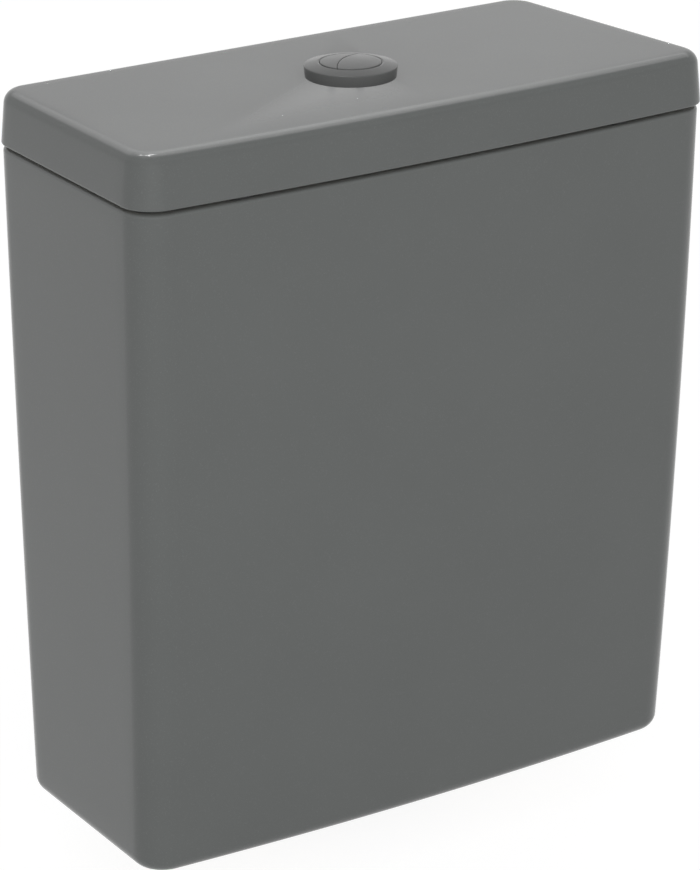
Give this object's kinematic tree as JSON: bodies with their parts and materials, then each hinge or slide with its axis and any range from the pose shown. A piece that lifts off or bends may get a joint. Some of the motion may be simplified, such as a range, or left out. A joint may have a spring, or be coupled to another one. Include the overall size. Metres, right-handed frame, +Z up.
{
  "type": "toilet cistern",
  "caption": "Close-coupled glazed toilet cistern with lift-off lid, split round push button, flush valve and float-operated fill valve, bolted to a pan.",
  "frame": {"origin": "on the flush outlet's axis, in the plane of the tank's underside", "axes": "+Z up, the front faces -Y, the back with its screw holes faces +Y"},
  "size_m": [0.3676, 0.168, 0.4428],
  "materials": {
    "glaze": "smooth dark grey glaze",
    "button_lacquer": "satin grey lacquer",
    "white_plastic": "moulded",
    "blue_plastic": "moulded",
    "float_plastic": "moulded",
    "black_rubber": "matt",
    "red_rubber": "matt",
    "steel": "zinc plated",
    "brass": "turned"
  },
  "bodies": {
    "cistern": {"tank": "glaze", "valve_base": "white_plastic", "outlet_nut": "white_plastic", "valve_cage": "white_plastic", "head_posts": "white_plastic", "float_guide": "white_plastic", "inlet_shank": "white_plastic", "inlet_nut": "white_plastic", "inlet_filter": "white_plastic", "fill_riser": "white_plastic", "valve_head": "blue_plastic", "riser_collar": "blue_plastic", "fill_valve_cap": "blue_plastic", "lid_pads": "black_rubber", "outlet_washer": "black_rubber", "pan_seal": "black_rubber", "inlet_washer": "black_rubber", "diaphragm": "black_rubber", "bolt_cone_washers": "black_rubber", "bolt_rubber_washers": "black_rubber", "rocker_pins": "steel", "lever_pin": "steel", "bolt_inner_washers": "steel", "bolt_plate_washers": "steel", "pan_bolts": "brass", "bolt_nuts": "brass"},
    "lid_set": {"lid": "glaze", "button_bezel": "button_lacquer", "bezel_washer": "black_rubber", "sleeve_nut": "white_plastic", "button_carrier": "white_plastic", "full_flush_spring": "steel", "half_flush_spring": "steel"},
    "full_button": {"full_flush_button": "button_lacquer", "full_flush_rod": "blue_plastic"},
    "half_button": {"half_flush_button": "button_lacquer", "half_flush_rod": "blue_plastic"},
    "full_rocker_arm": {"full_rocker": "white_plastic"},
    "half_rocker_arm": {"half_rocker": "white_plastic"},
    "lift_tube": {"overflow_tube": "white_plastic", "main_seal": "red_rubber", "seal_clamp": "blue_plastic", "lift_yoke": "blue_plastic", "full_flush_float": "float_plastic"},
    "half_float": {"half_flush_float": "float_plastic", "half_pull_rod": "blue_plastic"},
    "fill_float": {"float_cup": "float_plastic", "float_rod": "blue_plastic"},
    "fill_lever": {"float_lever": "white_plastic"}
  },
  "joints": [
    {"name": "lid_lift", "type": "slide", "parent": "cistern", "child": "lid_set", "axis": [0, 0, 1], "range_m": [0, 0.15]},
    {"name": "full_flush_press", "type": "slide", "parent": "lid_set", "child": "full_button", "axis": [0, 0, -1], "range_m": [0, 0.008], "stiffness_N_per_m": 600, "springref_m": -0.006, "deforming": ["full_flush_spring"]},
    {"name": "half_flush_press", "type": "slide", "parent": "lid_set", "child": "half_button", "axis": [0, 0, -1], "range_m": [0, 0.008], "stiffness_N_per_m": 600, "springref_m": -0.006, "deforming": ["half_flush_spring"]},
    {"name": "full_rocker_turn", "type": "hinge", "parent": "cistern", "child": "full_rocker_arm", "pos_m": [-0.01563, -0.0111, 0.3], "axis": [0, 1, 0], "range_deg": [0, 38.95]},
    {"name": "half_rocker_turn", "type": "hinge", "parent": "cistern", "child": "half_rocker_arm", "pos_m": [-0.00061, 0.00172, 0.3], "axis": [0, -1, 0], "range_deg": [0, 38.95]},
    {"name": "tube_lift", "type": "slide", "parent": "cistern", "child": "lift_tube", "axis": [0, 0, 1], "range_m": [0, 0.018]},
    {"name": "half_float_lift", "type": "slide", "parent": "cistern", "child": "half_float", "axis": [0, 0, 1], "range_m": [0, 0.018]},
    {"name": "fill_float_rise", "type": "slide", "parent": "cistern", "child": "fill_float", "axis": [0, 0, 1], "range_m": [0, 0.02]},
    {"name": "fill_lever_turn", "type": "hinge", "parent": "cistern", "child": "fill_lever", "pos_m": [0.122, 0, 0.25], "axis": [0, 1, 0], "range_deg": [0, 28.08]}
  ],
  "couplings": [
    {"joint": "full_rocker_turn", "follows": "full_flush_press", "rad_per_m": 84.959},
    {"joint": "tube_lift", "follows": "full_flush_press", "ratio": 2.25},
    {"joint": "half_rocker_turn", "follows": "half_flush_press", "rad_per_m": 84.959},
    {"joint": "half_float_lift", "follows": "half_flush_press", "ratio": 2.25},
    {"joint": "fill_lever_turn", "follows": "fill_float_rise", "rad_per_m": 24.498}
  ]
}
